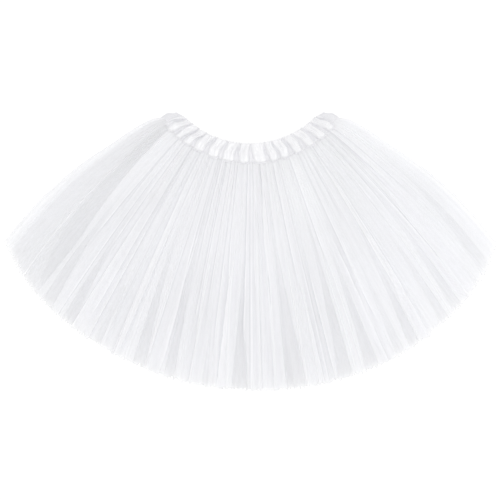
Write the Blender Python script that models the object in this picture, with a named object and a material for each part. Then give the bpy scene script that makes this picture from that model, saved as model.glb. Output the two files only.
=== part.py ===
"""A girl's pull-on ballet tutu, laid flat: a gathered satin waistband over three layers of pleated tulle.

Metres, +Z up. The skirt lies on the plane z = 0 with its back down, its waist towards +Y and its hem
towards -Y. The origin is the middle of the bottom of its bounding box.

Every layer is one strip sewn into a loop, so laid flat it is a ring: its front lies over its back and they
join in a fold at each side. The three tulle rings lie one inside the other, and their top edges are tucked
between the front and the back of the waistband, where they are sewn.

A place on the skirt is (t, s). t runs from -1 at the left side to 1 at the right side, and s from 0 at the
seam under the waistband to 1 at the hem.
"""

import math
from collections import namedtuple

import bmesh
import bpy
from mathutils import Vector

MM = 0.001

# The waistband lies in an arc, which is its seam and its top edge seen from above.
SEAM_RADIUS = 140 * MM
BAND_HEIGHT = 25.4 * MM  # a one-inch elastic in its casing
SEAM_HALF_ANGLE = math.radians(51.5)  # of the tulle, where it is sewn to the band
TUCKED_NARROWER = 0.97  # and of its top edge inside the band, as a share of that

# The hem lies in a flatter arc, whose middle is nearer.
SKIRT_LENGTH = 275 * MM  # of the tulle, from the seam to the hem at the middle of the front
HEM_RADIUS = 332 * MM
HEM_HALF_ANGLE = math.radians(63.3)
ARC_MIDDLES_APART = SEAM_RADIUS + SKIRT_LENGTH - HEM_RADIUS
SIDE_BULGE = 17 * MM  # how far a side fold springs out of the straight line from band to hem
BULGE_POWER = 5  # how quickly that fades away from the side

# Walls and the gaps between them, measured straight up. Sheet 0 is the outer layer's back, on the floor,
# and sheet 5 the outer layer's front.
GAP = 0.4 * MM  # where the pieces are sewn together
LOOSE_GAP = 0.8 * MM  # between layers at the hem, measured straight up, where pleats are steep
GATHERED_WALL = 1.0 * MM  # of tulle, where the band holds it
LOOSE_WALL = 1.8 * MM  # and at the hem, so that a steep pleat is still 1 mm thick
BAND_WALL = 2.2 * MM  # satin, elastic and satin
BAND_PUFF = 0.8 * MM  # how far the satin stands up between two gathers
SHEETS = 6
LAYERS = ("outer", "middle", "inner")
LAYER_SHORTER = 3 * MM  # how much shorter each layer is than the one outside it

# A pleat's crest lifts each sheet off the one below it, and its trough presses them together.
CREST_SPREAD = 1.6 * MM  # extra height for each sheet at a crest
FLOOR_GROOVE = 1.5 * MM  # how far a trough lifts the lowest sheet off the floor
EDGE_SPREAD = 0.25  # share of the crest spread that is left at the side folds
CREST_HUMP = 0.12  # a wide crest is rounded by this share of its height

# Where the sections lie between the seam and the hem. The first is tucked inside the band.
SECTIONS = (-0.022, 0.01, 0.18, 0.42, 0.70, 1.0)
SETTLED = 0.16  # from here on the lowest sheet lies on the floor

# Side folds, at the seam and at the hem.
FOLD_SLOPE = (2.5 * MM, 11 * MM)  # how far in from the fold the front and back start to close
LAYER_INSET = (2.0 * MM, 7 * MM)  # how much further in each layer's fold lies
FOLD_WALL = 1.2 * MM
FOLD_RISE = ((2.8 * MM, 4.6 * MM), (1.8 * MM, 3.0 * MM), (0.8 * MM, 1.4 * MM))  # half height, for each layer

Pleat = namedtuple("Pleat", "seam_t hem_t half_width start depth")
PLEATS = (
    # the troughs of the front, left to right; depth is a share of the crest's height
    Pleat(seam_t=-0.890, hem_t=-0.880, half_width=0.022, start=0.08, depth=0.9),
    Pleat(seam_t=-0.800, hem_t=-0.750, half_width=0.020, start=0.15, depth=0.9),
    Pleat(seam_t=-0.700, hem_t=-0.665, half_width=0.024, start=0.20, depth=1.0),
    Pleat(seam_t=-0.570, hem_t=-0.538, half_width=0.014, start=0.35, depth=0.7),
    Pleat(seam_t=-0.435, hem_t=-0.385, half_width=0.022, start=0.08, depth=0.9),
    Pleat(seam_t=-0.300, hem_t=-0.275, half_width=0.018, start=0.15, depth=0.9),
    Pleat(seam_t=-0.055, hem_t=-0.035, half_width=0.027, start=0.30, depth=1.0),
    Pleat(seam_t=0.095, hem_t=0.118, half_width=0.013, start=0.40, depth=0.7),
    Pleat(seam_t=0.165, hem_t=0.162, half_width=0.024, start=0.18, depth=1.0),
    Pleat(seam_t=0.370, hem_t=0.315, half_width=0.024, start=0.05, depth=0.9),
    Pleat(seam_t=0.460, hem_t=0.412, half_width=0.024, start=0.25, depth=0.9),
    Pleat(seam_t=0.635, hem_t=0.567, half_width=0.018, start=0.15, depth=0.9),
    Pleat(seam_t=0.710, hem_t=0.695, half_width=0.018, start=0.35, depth=0.7),
    Pleat(seam_t=0.790, hem_t=0.752, half_width=0.018, start=0.10, depth=0.8),
    Pleat(seam_t=0.890, hem_t=0.880, half_width=0.018, start=0.15, depth=0.8),
)
WIDE_CREST = 0.06  # a crest wider than this at the hem gets a line along its middle
SEAM_WIDTH_SHARE = 0.35  # a trough's width at the seam, as a share of its width at the hem

Gather = namedtuple("Gather", "at half_width")
GATHERS = (
    # the creases of the waistband, left to right, as shares of its half length
    Gather(at=-0.895, half_width=0.014),
    Gather(at=-0.780, half_width=0.013),
    Gather(at=-0.680, half_width=0.010),
    Gather(at=-0.572, half_width=0.012),
    Gather(at=-0.435, half_width=0.020),
    Gather(at=-0.285, half_width=0.016),
    Gather(at=-0.130, half_width=0.018),
    Gather(at=0.015, half_width=0.018),
    Gather(at=0.170, half_width=0.014),
    Gather(at=0.275, half_width=0.012),
    Gather(at=0.405, half_width=0.020),
    Gather(at=0.535, half_width=0.018),
    Gather(at=0.672, half_width=0.016),
    Gather(at=0.790, half_width=0.014),
    Gather(at=0.905, half_width=0.012),
)
SCALLOP = 0.9 * MM  # how far the band's edges stand out between gathers
BandRow = namedtuple("BandRow", "up end_angle roof")
BAND_ROWS = (
    # share of the band's height from the seam up, where its side folds lie, the inside of its front wall
    BandRow(up=0.0, end_angle=53.2, roof=11.1 * MM),
    BandRow(up=0.30, end_angle=53.6, roof=11.1 * MM),
    BandRow(up=0.66, end_angle=53.0, roof=9.6 * MM),
    BandRow(up=1.0, end_angle=50.5, roof=8.0 * MM),
)
BAND_FOLD_RISE = 4.4 * MM  # half height of the band's side folds


def mix(a, b, share):
    return a + (b - a) * share


def smooth_step(share):
    share = min(max(share, 0.0), 1.0)
    return share * share * (3 - 2 * share)


def on_band(angle, radius):
    """A point at this angle from straight down, this far from the middle of the band's arc."""
    return Vector((radius * math.sin(angle), -radius * math.cos(angle)))


def on_skirt(t, s):
    """The point (x, y) of the tulle at (t, s), measured from the middle of the band's arc."""
    seam = on_band(SEAM_HALF_ANGLE * t, SEAM_RADIUS)
    if s < 0:
        return on_band(TUCKED_NARROWER * SEAM_HALF_ANGLE * t, SEAM_RADIUS + s * SKIRT_LENGTH)
    hem_angle = HEM_HALF_ANGLE * t
    hem = Vector((HEM_RADIUS * math.sin(hem_angle), -ARC_MIDDLES_APART - HEM_RADIUS * math.cos(hem_angle)))
    fall = (hem - seam).normalized()
    outward = Vector((-fall.y, fall.x)) * math.copysign(1.0, t)
    spring = SIDE_BULGE * abs(t) ** BULGE_POWER * 4 * s * (1 - s)
    return seam.lerp(hem, s) + outward * spring


def half_width_at(s):
    """How long the arc from the centre line to the side fold is, in metres."""
    return mix(SEAM_RADIUS * SEAM_HALF_ANGLE, HEM_RADIUS * HEM_HALF_ANGLE, max(s, 0.0))


class Line:
    """A line down the skirt that is a column of its mesh: a trough, the rim of one, or a crest."""

    def __init__(self, seam_t, hem_t, start=1.0, depth=0.0, hump=0.0):
        self.seam_t, self.hem_t = seam_t, hem_t
        self.start, self.depth, self.hump = start, depth, hump

    def t(self, s):
        return mix(self.seam_t, self.hem_t, max(s, 0.0))

    def crest(self, s):
        """1 on a crest, and less in a trough."""
        grown = smooth_step((s - self.start) / (1.02 - self.start)) ** 0.7
        return 1 + self.hump * smooth_step(s) - self.depth * grown


def pleat_lines(with_crests):
    """The columns of a sheet, left to right."""
    lines = []
    for number, pleat in enumerate(PLEATS):
        seam_half = pleat.half_width * SEAM_WIDTH_SHARE
        left = Line(pleat.seam_t - seam_half, pleat.hem_t - pleat.half_width)
        if with_crests and number and left.hem_t - lines[-1].hem_t > WIDE_CREST:
            before = lines[-1]
            lines.append(Line((before.seam_t + left.seam_t) / 2, (before.hem_t + left.hem_t) / 2, hump=CREST_HUMP))
        lines.append(left)
        lines.append(Line(pleat.seam_t, pleat.hem_t, pleat.start, pleat.depth))
        lines.append(Line(pleat.seam_t + seam_half, pleat.hem_t + pleat.half_width))
    return lines


def wall_at(s):
    return mix(GATHERED_WALL, LOOSE_WALL, smooth_step(s / SETTLED))


def sheet_bottom(sheet, s, crest, spread=1.0):
    """The height of the underside of one of the six sheets, counted up from the floor."""
    loose = smooth_step((s - 0.02) / SETTLED)
    pressed = mix(BAND_WALL + GAP, FLOOR_GROOVE * (1 - crest), loose)
    pitch = wall_at(s) + mix(GAP, LOOSE_GAP, loose) + CREST_SPREAD * crest * spread * loose
    return pressed + sheet * pitch


def ring_wall(name, outer, inner, material):
    """A wall between two stacks of rings. outer[row][column] and inner[row][column] are points, and the
    rings run the same way round."""
    shape = bmesh.new()
    skins = [[[shape.verts.new(point) for point in ring] for ring in skin] for skin in (outer, inner)]
    columns = len(outer[0])
    last = len(outer) - 1
    for column in range(columns):
        after = (column + 1) % columns
        for row in range(last):
            for skin, turned in zip(skins, (False, True)):
                a, b = skin[row][column], skin[row][after]
                c, d = skin[row + 1][after], skin[row + 1][column]
                for corners in ((a, b, c), (a, c, d)):
                    shape.faces.new(corners[::-1] if turned else corners)
        for row in (0, last):
            a, b = skins[0][row][column], skins[0][row][after]
            c, d = skins[1][row][after], skins[1][row][column]
            for corners in ((a, b, c), (a, c, d)):
                shape.faces.new(corners if row else corners[::-1])
    mesh = bpy.data.meshes.new(name)
    bmesh.ops.recalc_face_normals(shape, faces=shape.faces)
    shape.to_mesh(mesh)
    shape.free()
    mesh.materials.append(material)
    made = bpy.data.objects.new(name, mesh)
    bpy.context.scene.collection.objects.link(made)
    return made


def place(flat, height):
    return Vector((flat.x, flat.y, height))


def tulle_section(layer, s):
    """The outer and the inner ring of one layer's wall at s: along the front to the right, round the right
    fold, back along the underside to the left, and round the left fold."""
    front, back = SHEETS - 1 - layer, layer
    wall = wall_at(s)
    flare = max(s, 0.0)
    inset = mix(*LAYER_INSET, flare) / half_width_at(s)
    fold_t = 1 - layer * inset
    inner_t = fold_t - FOLD_WALL / half_width_at(s)
    # All the layers come down to the same height at the innermost one's shoulder, and then go on to their own.
    shoulder_t = 1 - inset * (len(LAYERS) - 1) - mix(*FOLD_SLOPE, flare) / half_width_at(s)
    shoulders = [shoulder_t + inset * further for further in range(len(LAYERS) - layer)]
    rise = mix(*FOLD_RISE[layer], flare)
    middle = (sheet_bottom(2, s, 1, EDGE_SPREAD) + wall + sheet_bottom(3, s, 1, EDGE_SPREAD)) / 2

    def along(sheet, lines, top):
        lift = wall if top else 0.0
        heights = [(line.t(s), sheet_bottom(sheet, s, line.crest(s))) for line in lines]
        edge = sheet_bottom(sheet, s, 1, EDGE_SPREAD)
        left, right = [(-t, edge) for t in shoulders[::-1]], [(t, edge) for t in shoulders]
        rows = left + heights + right
        return [place(on_skirt(t, s), height + lift) for t, height in rows]

    def fold(t, half_rise):
        return [place(on_skirt(t, s), middle + half_rise), place(on_skirt(t, s), middle - half_rise)]

    front_lines, back_lines = pleat_lines(with_crests=True), pleat_lines(with_crests=False)
    inner_rise = rise - FOLD_WALL / 2
    outer = along(front, front_lines, True) + fold(fold_t, rise)
    outer += along(back, back_lines, False)[::-1] + fold(-fold_t, rise)[::-1]
    inner = along(front, front_lines, False) + fold(inner_t, inner_rise)
    inner += along(back, back_lines, True)[::-1] + fold(-inner_t, inner_rise)[::-1]
    return outer, inner


def tulle_layer(layer, material):
    shorter = layer * LAYER_SHORTER / SKIRT_LENGTH
    sections = [tulle_section(layer, min(s, 1 - shorter)) for s in SECTIONS]
    return ring_wall(
        f"tulle_{LAYERS[layer]}",
        [outer for outer, inner in sections],
        [inner for outer, inner in sections],
        material,
    )


def band_columns():
    """(place, puff) along the band: the bottom of each gather has two sides, and a puff stands between."""
    columns = [(-0.955, 0.75)]
    for number, gather in enumerate(GATHERS):
        if number:
            before = GATHERS[number - 1]
            columns.append(((before.at + gather.at) / 2, 1.0))
        columns.append((gather.at - gather.half_width, 0.0))
        columns.append((gather.at + gather.half_width, 0.0))
    return columns + [(0.955, 0.75)]


def band_section(row):
    """The outer and the inner ring of the waistband's wall at one of its rows."""
    end = math.radians(row.end_angle)
    radius = SEAM_RADIUS - BAND_HEIGHT * row.up
    edge = {0.0: SCALLOP, 1.0: -SCALLOP}.get(row.up, 0.0)
    inner_end = end - BAND_WALL / radius
    middle = (BAND_WALL + row.roof) / 2
    rise = BAND_FOLD_RISE * (row.roof / BAND_ROWS[0].roof)

    def along(height, puffed):
        points = []
        for share, puff in band_columns():
            flat = on_band(end * share, radius + edge * puff)
            points.append(place(flat, height + puffed * puff))
        return points

    def underside():
        return [place(flat_point.xy, BAND_PUFF * (1 - puff)) for flat_point, (_, puff) in zip(along(0.0, 0.0), band_columns())]

    def fold(angle, half_rise):
        flat = on_band(angle, radius)
        return [place(flat, middle + half_rise), place(flat, middle - half_rise)]

    outer = along(row.roof + BAND_WALL, BAND_PUFF) + fold(end, rise)
    outer += underside()[::-1] + fold(-end, rise)[::-1]
    inner = along(row.roof, 0.0) + fold(inner_end, rise - BAND_WALL / 2)
    inner += along(BAND_WALL, 0.0)[::-1] + fold(-inner_end, rise - BAND_WALL / 2)[::-1]
    return outer, inner


def waistband(material):
    sections = [band_section(row) for row in BAND_ROWS[::-1]]
    return ring_wall(
        "waistband",
        [outer for outer, inner in sections],
        [inner for outer, inner in sections],
        material,
    )


def finish_material(name, colour, roughness):
    material = bpy.data.materials.new(name)
    material.use_nodes = True
    shader = material.node_tree.nodes["Principled BSDF"]
    shader.inputs["Base Color"].default_value = (*colour, 1.0)
    shader.inputs["Roughness"].default_value = roughness
    shader.inputs["Metallic"].default_value = 0.0
    return material


def put_origin_under(made):
    """Moves the meshes so that the middle of the bottom of their common box is the origin."""
    corners = [vertex.co for piece in made for vertex in piece.data.vertices]
    low = Vector(min(corner[axis] for corner in corners) for axis in range(3))
    high = Vector(max(corner[axis] for corner in corners) for axis in range(3))
    shift = Vector((-(low.x + high.x) / 2, -(low.y + high.y) / 2, -low.z))
    for piece in made:
        for vertex in piece.data.vertices:
            vertex.co += shift


def main():
    for leftover in list(bpy.data.objects):
        bpy.data.objects.remove(leftover)
    tulle = finish_material("tulle", (0.86, 0.87, 0.90), 0.85)
    satin = finish_material("satin", (0.90, 0.90, 0.92), 0.30)
    made = [tulle_layer(layer, tulle) for layer in range(len(LAYERS))]
    made.append(waistband(satin))
    put_origin_under(made)


main()
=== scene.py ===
"""The looks of a girl's pull-on ballet tutu, laid flat: white tulle under a gathered satin waistband.

Metres, +Z up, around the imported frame. The tutu lies on z = 0 with its waist towards +Y.

A place on the skirt is (t, s). t runs from -1 at the left side fold to 1 at the right one, and s from 0 at
the seam under the waistband to 1 at the hem. Each tulle layer is a ring, so the three of them lie as six
sheets, counted up from the floor: sheet 0 is the outer layer's back, and sheet 5 the outer layer's front.
"""

import math
from collections import namedtuple

import bpy
import numpy as np
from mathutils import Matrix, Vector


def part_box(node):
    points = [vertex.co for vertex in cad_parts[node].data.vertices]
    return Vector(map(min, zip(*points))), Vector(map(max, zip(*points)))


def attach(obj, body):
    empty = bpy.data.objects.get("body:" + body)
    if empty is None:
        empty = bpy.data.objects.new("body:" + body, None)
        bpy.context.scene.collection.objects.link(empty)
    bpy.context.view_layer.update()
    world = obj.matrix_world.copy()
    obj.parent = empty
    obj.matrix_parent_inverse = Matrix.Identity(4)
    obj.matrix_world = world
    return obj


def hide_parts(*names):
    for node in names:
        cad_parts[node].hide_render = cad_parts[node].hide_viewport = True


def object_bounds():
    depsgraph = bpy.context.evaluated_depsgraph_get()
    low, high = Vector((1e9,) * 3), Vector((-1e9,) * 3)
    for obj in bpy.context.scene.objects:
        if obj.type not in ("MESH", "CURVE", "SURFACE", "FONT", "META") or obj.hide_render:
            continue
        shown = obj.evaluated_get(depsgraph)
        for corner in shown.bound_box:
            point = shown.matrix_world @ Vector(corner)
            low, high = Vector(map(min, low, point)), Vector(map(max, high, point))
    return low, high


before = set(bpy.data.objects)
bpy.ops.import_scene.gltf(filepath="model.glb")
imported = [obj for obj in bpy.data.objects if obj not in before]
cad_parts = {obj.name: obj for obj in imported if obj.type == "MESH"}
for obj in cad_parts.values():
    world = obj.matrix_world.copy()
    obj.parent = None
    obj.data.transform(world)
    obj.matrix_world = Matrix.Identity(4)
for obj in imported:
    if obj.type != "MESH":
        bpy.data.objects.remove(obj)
cad_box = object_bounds()

MM = 0.001

# ---------------------------------------------------------------- how the tutu lies

# The seam and the hem lie as two arcs, each with its own middle.
SEAM_RADIUS = 140 * MM
SEAM_HALF_ANGLE = math.radians(51.5)
SKIRT_LENGTH = 275 * MM  # from the seam to the hem
HEM_RADIUS = 332 * MM
HEM_HALF_ANGLE = math.radians(63.3)
SIDE_BULGE = 17 * MM  # how far the side folds bow out
BULGE_POWER = 5  # the higher, the less of the skirt beside them bows out too
SHOULDER = 6 * MM  # how far the top corners of the skirt stand out past the band's ends
SHOULDER_POWER = 8
SKIRT_BOTTOM_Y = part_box("tulle_outer")[0][1]
ARC_MIDDLE_Y = SKIRT_BOTTOM_Y + SKIRT_LENGTH + SEAM_RADIUS  # the middle of the seam's arc and the band's

HemPlace = namedtuple("HemPlace", "t longer")
HEM_PLACES = (
    # how far past its arc the hem lies, left to right
    HemPlace(t=-1.00, longer=0.0 * MM),
    HemPlace(t=-0.90, longer=3.0 * MM),
    HemPlace(t=-0.80, longer=4.0 * MM),
    HemPlace(t=-0.70, longer=2.5 * MM),
    HemPlace(t=-0.55, longer=-1.0 * MM),
    HemPlace(t=-0.38, longer=-3.0 * MM),
    HemPlace(t=-0.20, longer=-2.0 * MM),
    HemPlace(t=-0.05, longer=-2.5 * MM),
    HemPlace(t=0.13, longer=0.0 * MM),
    HemPlace(t=0.25, longer=2.4 * MM),
    HemPlace(t=0.35, longer=4.5 * MM),
    HemPlace(t=0.50, longer=8.0 * MM),
    HemPlace(t=0.60, longer=9.0 * MM),
    HemPlace(t=0.80, longer=10.0 * MM),
    HemPlace(t=0.90, longer=8.6 * MM),
    HemPlace(t=1.00, longer=3.0 * MM),
)

# Heights of the six sheets, measured at the middle of each one's wall.
SHEETS = 6
LAYERS = ("outer", "middle", "inner")
GATHERED_PITCH = 1.4 * MM  # from one sheet to the next, where the band holds them
LOOSE_PITCH = 2.6 * MM  # and at the hem, in the bottom of a pleat
CREST_SPREAD = 1.6 * MM  # more than that on the top of a pleat
SEAM_LIFT = 3.0 * MM  # the lowest sheet's height at the seam, on the band's back wall
FLOOR_LIFT = 0.5 * MM  # and on the floor
SETTLED = 0.25  # where the sheets have come down onto each other, as s
TROUGH_DEPTH = 0.12  # how much nearer the sheets lie in a trough, as a share of their pitch
SEAM_SPRING = 0.7 * MM  # how far each sheet springs up where its gathers leave the band
SIDE_FOLD = (4 * MM, 15 * MM)  # how wide the rounded side folds are, at the seam and at the hem
LAYER_INSET = (2 * MM, 7 * MM)  # how much further in each layer's fold lies
LAYER_SHORTER = 2.5 * MM  # how much shorter the next layer in lies

# ---------------------------------------------------------------- the pleats

Pleat = namedtuple("Pleat", "seam_t hem_t half_width start end depth")
PLEATS = (
    # The front's troughs, left to right. Each opens at start and narrows again towards end. An end of 9 is
    # so far past the hem that the trough stays open.
    Pleat(seam_t=-0.925, hem_t=-0.885, half_width=0.078, start=-3.00, end=9, depth=0.6),
    Pleat(seam_t=-0.890, hem_t=-0.800, half_width=0.045, start=-3.00, end=1.1, depth=1.0),
    Pleat(seam_t=-0.800, hem_t=-0.748, half_width=0.024, start=0.25, end=9, depth=0.9),
    Pleat(seam_t=-0.700, hem_t=-0.660, half_width=0.022, start=0.30, end=9, depth=1.0),
    Pleat(seam_t=-0.570, hem_t=-0.536, half_width=0.012, start=0.50, end=9, depth=0.7),
    Pleat(seam_t=-0.495, hem_t=-0.465, half_width=0.018, start=0.06, end=0.50, depth=0.7),
    Pleat(seam_t=-0.445, hem_t=-0.381, half_width=0.024, start=0.08, end=9, depth=0.9),
    Pleat(seam_t=-0.300, hem_t=-0.274, half_width=0.020, start=0.15, end=9, depth=0.9),
    Pleat(seam_t=-0.175, hem_t=-0.152, half_width=0.012, start=0.60, end=9, depth=0.7),
    Pleat(seam_t=-0.030, hem_t=-0.035, half_width=0.031, start=0.33, end=9, depth=1.0),
    Pleat(seam_t=0.135, hem_t=0.158, half_width=0.038, start=0.20, end=9, depth=0.7),
    Pleat(seam_t=0.130, hem_t=0.135, half_width=0.016, start=0.20, end=9, depth=1.0),
    Pleat(seam_t=0.370, hem_t=0.320, half_width=0.026, start=0.06, end=9, depth=0.9),
    Pleat(seam_t=0.440, hem_t=0.412, half_width=0.026, start=0.35, end=9, depth=0.9),
    Pleat(seam_t=0.540, hem_t=0.515, half_width=0.018, start=0.40, end=9, depth=0.6),
    Pleat(seam_t=0.620, hem_t=0.567, half_width=0.020, start=0.35, end=9, depth=0.9),
    Pleat(seam_t=0.720, hem_t=0.693, half_width=0.018, start=0.35, end=9, depth=0.7),
    Pleat(seam_t=0.790, hem_t=0.750, half_width=0.020, start=0.25, end=9, depth=0.8),
    Pleat(seam_t=0.870, hem_t=0.850, half_width=0.010, start=0.75, end=9, depth=0.6),
    Pleat(seam_t=0.945, hem_t=0.905, half_width=0.024, start=0.15, end=9, depth=0.6),
)
TROUGH_SIDE = 0.18  # how much of a trough's half width its steep side takes
DEEP_TROUGH = 5 * MM  # the half width from which a trough has its full depth

Ridge = namedtuple("Ridge", "seam_t hem_t half_width start height")
RIDGES = (
    # the narrow folds that stand up on the front of the outer layer, left to right
    Ridge(seam_t=-0.905, hem_t=-0.868, half_width=0.006, start=0.10, height=0.75 * MM),
    Ridge(seam_t=-0.560, hem_t=-0.520, half_width=0.006, start=0.45, height=0.65 * MM),
    Ridge(seam_t=-0.460, hem_t=-0.430, half_width=0.008, start=0.05, height=0.60 * MM),
    Ridge(seam_t=-0.395, hem_t=-0.358, half_width=0.006, start=0.30, height=0.75 * MM),
    Ridge(seam_t=-0.225, hem_t=-0.205, half_width=0.005, start=0.20, height=0.70 * MM),
    Ridge(seam_t=-0.135, hem_t=-0.122, half_width=0.005, start=0.30, height=0.55 * MM),
    Ridge(seam_t=-0.080, hem_t=-0.075, half_width=0.005, start=0.25, height=0.70 * MM),
    Ridge(seam_t=0.005, hem_t=0.006, half_width=0.005, start=0.40, height=0.60 * MM),
    Ridge(seam_t=0.060, hem_t=0.055, half_width=0.009, start=0.10, height=0.50 * MM),
    Ridge(seam_t=0.190, hem_t=0.192, half_width=0.005, start=0.30, height=0.75 * MM),
    Ridge(seam_t=0.245, hem_t=0.232, half_width=0.005, start=0.35, height=0.70 * MM),
    Ridge(seam_t=0.385, hem_t=0.358, half_width=0.006, start=0.20, height=0.65 * MM),
    Ridge(seam_t=0.410, hem_t=0.383, half_width=0.005, start=0.30, height=0.60 * MM),
    Ridge(seam_t=0.500, hem_t=0.465, half_width=0.009, start=0.15, height=0.55 * MM),
    Ridge(seam_t=0.645, hem_t=0.589, half_width=0.005, start=0.30, height=0.75 * MM),
    Ridge(seam_t=0.750, hem_t=0.725, half_width=0.005, start=0.40, height=0.60 * MM),
    Ridge(seam_t=0.835, hem_t=0.805, half_width=0.007, start=0.15, height=0.55 * MM),
)
RIDGE_SEAM_WIDTH = 0.4  # how wide a ridge is at the seam, as a share of its width at the hem
TALLEST_RIDGE = 0.75 * MM

# ---------------------------------------------------------------- the knife pleats

Knife = namedtuple("Knife", "seam_t hem_t half_width start end overlap side")
KNIFE_REACH = 0.935  # how far towards the side folds there are knife pleats, as t
HEM_KNIVES = 34  # how many there are on each layer that run to the hem
SEAM_KNIVES = 60  # and that come from the seam
HEM_KNIFE_SEED = 11
SEAM_KNIFE_SEED = 31
KNIFE_HEIGHT = (0.7 * MM, 0.5 * MM)  # how far they stand up on the front of the outer layer, and elsewhere
KNIFE_HEIGHT_AT_SEAM = 1.6  # that many times as far at the seam
KNIFE_SHADE = 0.6  # how dark the painted shadow beside their edges is, where a trough's painted shade is 1
COMPARED_AT = 0.8  # where their places and the troughs' are compared, as s

# ---------------------------------------------------------------- the net and its gathers

CLOTH_LENGTH = 1.73  # of each layer's strip, before it was gathered, all round
FRONT_GATHERS = 124
BACK_GATHERS = 76
SHARP_TURN = math.radians(50)  # over an edge that turns more, the cloth isn't shaded smooth
COLUMNS_EACH = 10  # of the mesh, for each gather
TUCKED_ROWS = (-0.022, -0.008)  # of the mesh, inside the band, as s
FREE_ROWS = np.linspace(0.0, 0.955, 34) ** 1.1
FRAYED_ROWS = (0.97, 0.98, 0.99, 1.0)
FRAY_FROM = 0.965  # where the hem's small teeth start, as s
TULLE_ROWS = np.concatenate([TUCKED_ROWS, FREE_ROWS, FRAYED_ROWS])
OPEN_BY = 0.4  # where the gathers have opened out, as s
OPENED_GATHERS = 0.2  # how high they still are from there on, as a share
HIDDEN_GATHERS = 0.45  # and how high they are in the sheets under the top one
# How close the threads are drawn at the seam and further down, where they are 1 on a fold's edge. The same
# values paint the net lighter there: painted light.
NET_BUNCHED_AND_PAINTED_LIGHT = (0.85, 0.3)
SIDE_BUNCHED_AND_PAINTED_LIGHT = 0.8  # and at the very sides


def mix(a, b, share):
    return a + (b - a) * share


def smooth_step(share):
    share = np.clip(share, 0.0, 1.0)
    return share * share * (3 - 2 * share)


def bump(x):
    """1 at 0, falling smoothly to 0 at -1 and 1."""
    return 0.5 + 0.5 * np.cos(np.pi * np.clip(x, -1.0, 1.0))


def trough(x):
    """The same with a flat middle and steep sides."""
    return smooth_step((1 - np.abs(x)) / TROUGH_SIDE)


def rows_of(points):
    return np.stack(points, axis=-1)


def seam_point(t, radius):
    angle = SEAM_HALF_ANGLE * t
    return rows_of([radius * np.sin(angle), ARC_MIDDLE_Y - radius * np.cos(angle)])


def hem_point(t):
    angle = HEM_HALF_ANGLE * t
    return rows_of([HEM_RADIUS * np.sin(angle), SKIRT_BOTTOM_Y + HEM_RADIUS * (1 - np.cos(angle))])


def bowed_out(t, s):
    """How far the cloth is pushed to the right: the side folds bow out, and so do the top corners."""
    loose = np.clip(s, 0.0, 1.0)
    below_band = smooth_step((s + 0.04) / 0.06) * (1 - smooth_step((s - 0.02) / 0.3))
    sides = SIDE_BULGE * np.abs(t) ** BULGE_POWER * 4 * loose * (1 - loose)
    return np.sign(t) * (sides + SHOULDER * np.abs(t) ** SHOULDER_POWER * below_band)


def lie(t, s):
    """Where (t, s) lies on the floor, and the directions there: across the skirt, and down it."""
    loose = np.clip(s, 0.0, 1.0)
    seam, hem = seam_point(t, SEAM_RADIUS), hem_point(t)
    down = (hem - seam) / np.linalg.norm(hem - seam, axis=-1, keepdims=True)
    across = rows_of([-down[..., 1], down[..., 0]])
    longer = np.interp(t, [place.t for place in HEM_PLACES], [place.longer for place in HEM_PLACES])
    tucked = np.minimum(s, 0.0) * SKIRT_LENGTH
    place = seam + (hem - seam) * loose[..., None] + across * bowed_out(t, s)[..., None]
    return place + down * (longer * loose + tucked)[..., None], across, down


def half_width_at(s):
    return mix(SEAM_RADIUS * SEAM_HALF_ANGLE, HEM_RADIUS * HEM_HALF_ANGLE, np.clip(s, 0.0, 1.0))


def line_at(line, s):
    """Where the middle of a pleat or a ridge runs at s, as t."""
    return mix(line.seam_t, line.hem_t, np.clip(s, 0.0, 1.0))


def pleated(t, s):
    """How far down the troughs between the pleats go at (t, s), as a share."""
    sunk = np.zeros_like(t)
    for pleat in PLEATS:
        # A trough is a wedge: a point at its start, and its full width at the hem, unless it closes before.
        half = pleat.half_width * np.clip((s - pleat.start) / (1.0 - pleat.start), 0.02, 1.0)
        half *= mix(0.02, 1.0, smooth_step((pleat.end - s) / 0.5))
        open_share = smooth_step((s - pleat.start) / 0.1) * smooth_step((pleat.end - s) / 0.1)
        depth = pleat.depth * np.minimum(half * half_width_at(s) / DEEP_TROUGH, 1.0)
        sunk = np.maximum(sunk, depth * trough((t - line_at(pleat, s)) / half) * open_share)
    return sunk


def knives(seed, count, from_seam):
    """Small knife pleats, unevenly spaced: the cloth folds over itself along a line down the skirt. Those
    from the seam fade out on their way down, and the others start on the way and run to the hem."""
    chance = np.random.default_rng(seed)
    spacing = 2 * KNIFE_REACH / count
    made = []
    for number in range(count):
        place = -KNIFE_REACH + spacing * (number + chance.uniform(0.2, 0.8))
        half = spacing * chance.uniform(0.25, 0.5)
        slope = chance.normal(0.0, 0.1 * spacing)
        side = 1 if chance.uniform() < 0.5 + 0.3 * math.sin(9 * place + seed) else -1
        drawn = chance.uniform(0.3, 1.4) if from_seam else chance.uniform(-0.2, 0.5)
        start, end = (-0.4, drawn) if from_seam else (drawn, 9)
        made.append(Knife(place - slope, place + slope, half, start, end, chance.uniform(0.0, 0.7), side))
    return [knife for knife in made if not crosses_trough(knife)]


def crosses_trough(knife):
    """Whether a knife pleat would run into a trough on its way down."""
    for pleat in PLEATS:
        meet = pleat.end > 1 and (knife.end > 1 or pleat.start < 0)
        apart = abs(line_at(knife, COMPARED_AT) - line_at(pleat, COMPARED_AT))
        if meet and apart < pleat.half_width + 0.5 * knife.half_width:
            return True
    return False


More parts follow.
